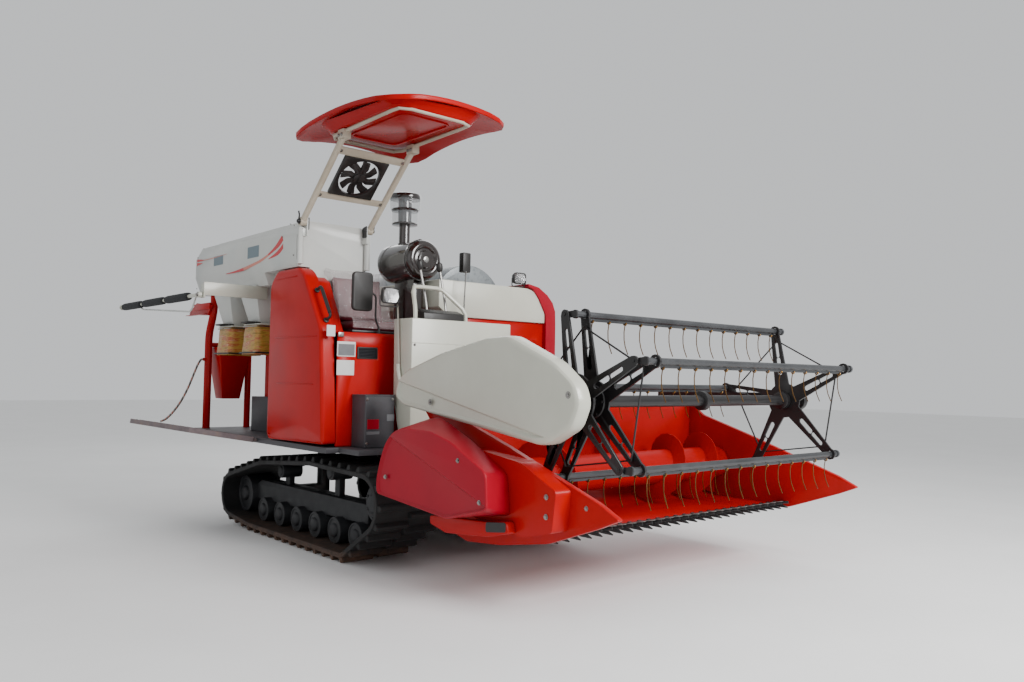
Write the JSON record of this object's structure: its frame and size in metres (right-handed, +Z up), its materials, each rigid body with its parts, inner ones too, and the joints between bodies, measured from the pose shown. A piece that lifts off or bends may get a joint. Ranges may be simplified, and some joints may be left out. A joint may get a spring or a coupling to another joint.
{
  "type": "combine harvester",
  "caption": "Small tracked full-feed combine harvester with a reel header, operator's canopy, side grain tank and a folding bagging platform.",
  "frame": {"origin": "centre of the bounding box at ground level", "axes": "+Z up, +Y towards the machine's rear, +X towards its left side; the header is at -Y"},
  "size_m": [2.8744, 4.804, 2.6752],
  "materials": {
    "track_rubber": "moulded black rubber, dusty",
    "cast_iron": "dark painted casting",
    "black_paint": "satin black paint",
    "grey_paint": "dark grey paint",
    "red_paint": "glossy red paint",
    "cream_paint": "glossy off-white paint",
    "seat_vinyl": "maroon vinyl",
    "zinc_sheet": "galvanised sheet",
    "sleeve_plastic": "yellow translucent plastic",
    "bare_steel": "plain steel",
    "crimson_plastic": "glossy crimson plastic"
  },
  "bodies": {
    "root": {"track_right": "track_rubber", "track_left": "track_rubber", "track_frame_right": "cast_iron", "track_frame_left": "cast_iron", "drive_axle": "cast_iron", "chassis_frame": "black_paint", "deck": "grey_paint", "engine": "cast_iron", "engine_housing": "red_paint", "radiator_box": "red_paint", "console": "cream_paint", "grab_rail": "cream_paint", "lamp_stand": "cream_paint", "mirror": "black_paint", "seat": "seat_vinyl", "step_box": "grey_paint", "air_cleaner": "black_paint", "thresher_body": "red_paint", "thresher_top": "cream_paint", "corner_cover": "red_paint", "elevator_boot": "grey_paint", "grain_elevator": "red_paint", "grain_tank": "cream_paint", "bag_sleeve_front": "sleeve_plastic", "bag_sleeve_rear": "sleeve_plastic", "tank_frame": "red_paint", "rear_hopper": "red_paint", "rail_arm": "cream_paint", "hold_chain": "bare_steel"},
    "side_door": {"side_door": "red_paint"},
    "drum_cover": {"drum_cover": "zinc_sheet"},
    "platform": {"bagging_platform": "grey_paint"},
    "hand_rail": {"hand_rail": "black_paint"},
    "canopy": {"canopy_frame": "cream_paint", "canopy_roof": "red_paint", "fan_shroud": "black_paint"},
    "canopy_fan": {"canopy_fan": "black_paint"},
    "header": {"feeder_house": "red_paint", "header_trough": "red_paint", "side_sheet_right": "red_paint", "side_sheet_left": "red_paint", "cutter_bar": "black_paint", "header_drive_guard": "crimson_plastic"},
    "auger": {"auger": "red_paint"},
    "reel_arms": {"reel_arm_right": "black_paint", "reel_arm_left": "black_paint", "reel_drive_guard": "cream_paint"},
    "reel": {"reel_rotor": "black_paint"},
    "bat_1": {"reel_bat_1": "bare_steel"},
    "bat_2": {"reel_bat_2": "bare_steel"},
    "bat_3": {"reel_bat_3": "bare_steel"},
    "bat_4": {"reel_bat_4": "bare_steel"},
    "bat_5": {"reel_bat_5": "bare_steel"},
    "crank_star": {"crank_star": "black_paint"},
    "reel_lift_barrel": {"reel_lift_barrel": "black_paint"},
    "reel_lift_rod": {"reel_lift_rod": "bare_steel"},
    "lift_barrel": {"lift_barrel": "black_paint"},
    "lift_rod": {"lift_rod": "bare_steel"}
  },
  "joints": [
    {"name": "header_lift", "type": "hinge", "parent": "root", "child": "header", "pos_m": [0.33124, -0.39799, 1.19024], "axis": [-1, 0, 0], "range_deg": [-10, 12]},
    {"name": "auger_spin", "type": "hinge", "parent": "header", "child": "auger", "pos_m": [0.35624, -1.35799, 0.56024], "axis": [1, 0, 0], "continuous": true},
    {"name": "reel_lift", "type": "hinge", "parent": "header", "child": "reel_arms", "pos_m": [0.35624, -0.93799, 1.00024], "axis": [-1, 0, 0], "range_deg": [0, 15]},
    {"name": "reel_spin", "type": "hinge", "parent": "reel_arms", "child": "reel", "pos_m": [0.35624, -1.98799, 0.99424], "axis": [1, 0, 0], "continuous": true},
    {"name": "bat_1_turn", "type": "hinge", "parent": "reel", "child": "bat_1", "pos_m": [0.35624, -1.92251, 1.4172], "axis": [1, 0, 0], "continuous": true},
    {"name": "bat_2_turn", "type": "hinge", "parent": "reel", "child": "bat_2", "pos_m": [0.35624, -2.37001, 1.18722], "axis": [1, 0, 0], "continuous": true},
    {"name": "bat_3_turn", "type": "hinge", "parent": "reel", "child": "bat_3", "pos_m": [0.35624, -2.28957, 0.69055], "axis": [1, 0, 0], "continuous": true},
    {"name": "bat_4_turn", "type": "hinge", "parent": "reel", "child": "bat_4", "pos_m": [0.35624, -1.79235, 0.61357], "axis": [1, 0, 0], "continuous": true},
    {"name": "bat_5_turn", "type": "hinge", "parent": "reel", "child": "bat_5", "pos_m": [0.35624, -1.56549, 1.06267], "axis": [1, 0, 0], "continuous": true},
    {"name": "crank_star_spin", "type": "hinge", "parent": "reel_arms", "child": "crank_star", "pos_m": [-0.57176, -1.93799, 0.99424], "axis": [1, 0, 0], "continuous": true},
    {"name": "lift_barrel_turn", "type": "hinge", "parent": "root", "child": "lift_barrel", "pos_m": [0.07824, -0.37799, 0.51024], "axis": [-1, 0, 0], "range_deg": [-12, 14]},
    {"name": "lift_rod_slide", "type": "slide", "parent": "lift_barrel", "child": "lift_rod", "axis": [0, -0.9942, -0.1077], "range_m": [-0.125, 0.149]},
    {"name": "reel_barrel_turn", "type": "hinge", "parent": "header", "child": "reel_lift_barrel", "pos_m": [-0.60376, -1.06799, 0.64024], "axis": [-1, 0, 0], "range_deg": [-4, 1]},
    {"name": "reel_rod_slide", "type": "slide", "parent": "reel_lift_barrel", "child": "reel_lift_rod", "axis": [0, 0, 1], "range_m": [-0.002, 0.04]},
    {"name": "canopy_fold", "type": "hinge", "parent": "root", "child": "canopy", "pos_m": [-0.78376, 0.02601, 2.05824], "axis": [-1, 0, 0], "range_deg": [0, 75]},
    {"name": "canopy_fan_spin", "type": "hinge", "parent": "canopy", "child": "canopy_fan", "pos_m": [-0.80376, -0.26734, 2.32146], "axis": [0, -0.6678, -0.7443], "continuous": true},
    {"name": "platform_fold", "type": "hinge", "parent": "root", "child": "platform", "pos_m": [-1.04036, 1.16201, 0.65824], "axis": [0, 1, 0], "range_deg": [0, 80], "deforming": ["hold_chain"]},
    {"name": "hand_rail_lift", "type": "hinge", "parent": "root", "child": "hand_rail", "pos_m": [-1.39376, 0.73201, 1.61524], "axis": [1, 0, 0], "range_deg": [0, 80]},
    {"name": "side_door_swing", "type": "hinge", "parent": "root", "child": "side_door", "pos_m": [-0.94776, 0.43601, 1.00024], "axis": [0, 0, -1], "range_deg": [0, 90]},
    {"name": "drum_cover_open", "type": "hinge", "parent": "root", "child": "drum_cover", "pos_m": [0.43424, 0.76201, 1.74354], "axis": [0, 1, 0], "range_deg": [0, 70]}
  ],
  "couplings": [
    {"joint": "bat_1_turn", "follows": "reel_spin", "ratio": -1},
    {"joint": "bat_2_turn", "follows": "reel_spin", "ratio": -1},
    {"joint": "bat_3_turn", "follows": "reel_spin", "ratio": -1},
    {"joint": "bat_4_turn", "follows": "reel_spin", "ratio": -1},
    {"joint": "bat_5_turn", "follows": "reel_spin", "ratio": -1},
    {"joint": "crank_star_spin", "follows": "reel_spin", "ratio": 1},
    {"joint": "lift_barrel_turn", "follows": "header_lift", "ratio": 1.0716},
    {"joint": "lift_rod_slide", "follows": "header_lift", "m_per_rad": 0.6762},
    {"joint": "reel_barrel_turn", "follows": "reel_lift", "ratio": -0.1426},
    {"joint": "reel_rod_slide", "follows": "reel_lift", "m_per_rad": 0.1357}
  ]
}
